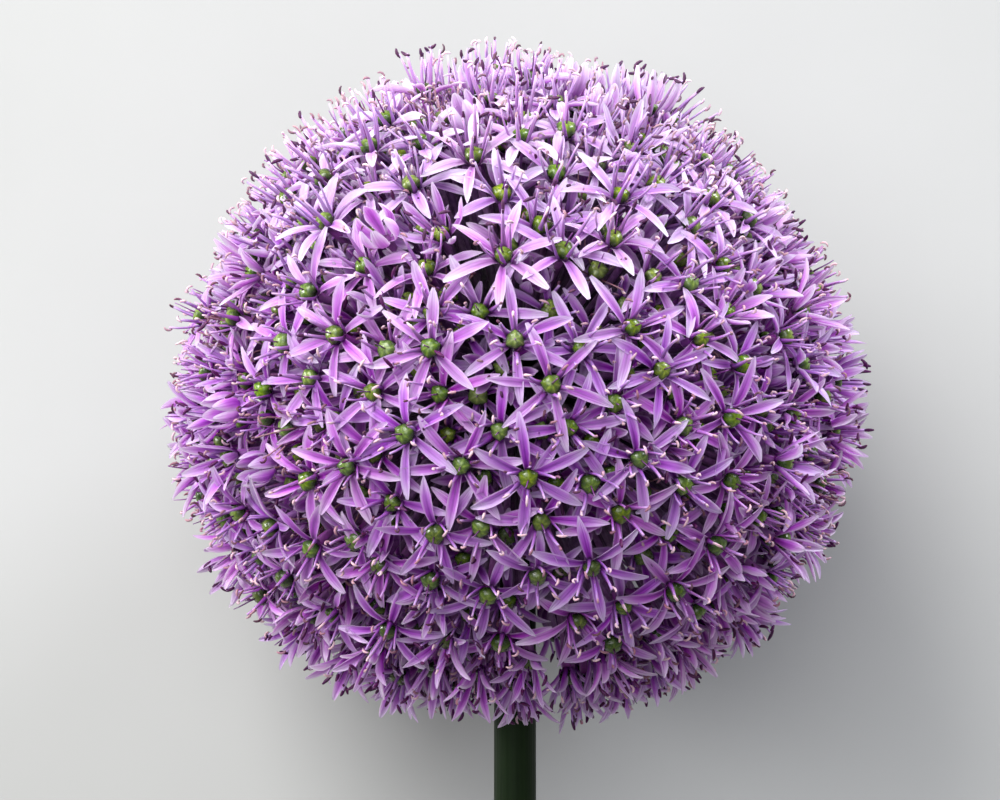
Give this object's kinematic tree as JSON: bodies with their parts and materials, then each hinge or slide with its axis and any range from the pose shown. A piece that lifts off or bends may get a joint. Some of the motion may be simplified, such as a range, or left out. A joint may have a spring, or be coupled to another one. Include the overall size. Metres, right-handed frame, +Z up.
{
  "type": "allium flower head",
  "caption": "Cut flower of a large ornamental allium lying on its side: a ball of star-shaped florets on thin stalks around the top of a bare stem.",
  "frame": {"origin": "middle of the underside of the flower's box, on the surface that it lies on", "axes": "+Z up from the surface; +Y along the flower as seen from above, from the cut end of the stem towards the crown of the head; +X across it"},
  "size_m": [0.149, 0.3016, 0.1453],
  "materials": {
    "stem": "satin",
    "stalks": "satin",
    "petals": "satin",
    "stamens": "satin",
    "ovaries": "satin"
  },
  "bodies": {
    "root": {"scape": "stem", "cyme_01": "petals", "cyme_02": "petals", "cyme_03": "petals", "cyme_04": "petals", "cyme_05": "petals", "cyme_06": "petals", "cyme_07": "petals", "cyme_08": "petals", "cyme_09": "petals", "cyme_10": "petals", "cyme_11": "petals", "cyme_12": "petals", "cyme_13": "petals", "cyme_14": "petals", "cyme_15": "petals", "cyme_16": "petals", "cyme_17": "petals", "cyme_18": "petals", "cyme_19": "petals", "cyme_20": "petals", "cyme_21": "petals", "cyme_22": "petals", "cyme_23": "petals", "cyme_24": "petals", "cyme_25": "petals", "cyme_26": "petals", "cyme_27": "petals", "cyme_28": "petals", "cyme_29": "petals", "cyme_30": "petals", "cyme_31": "petals", "cyme_32": "petals", "cyme_33": "petals", "cyme_34": "petals", "cyme_35": "petals", "cyme_36": "petals", "cyme_37": "petals", "cyme_38": "petals", "cyme_39": "petals", "cyme_40": "petals", "cyme_41": "petals", "cyme_42": "petals", "cyme_43": "petals", "cyme_44": "petals", "cyme_45": "petals", "cyme_46": "petals", "cyme_47": "petals", "cyme_48": "petals", "cyme_49": "petals", "cyme_50": "petals", "cyme_51": "petals", "cyme_52": "petals", "cyme_53": "petals", "cyme_54": "petals", "cyme_55": "petals", "cyme_56": "petals"}
  },
  "joints": []
}
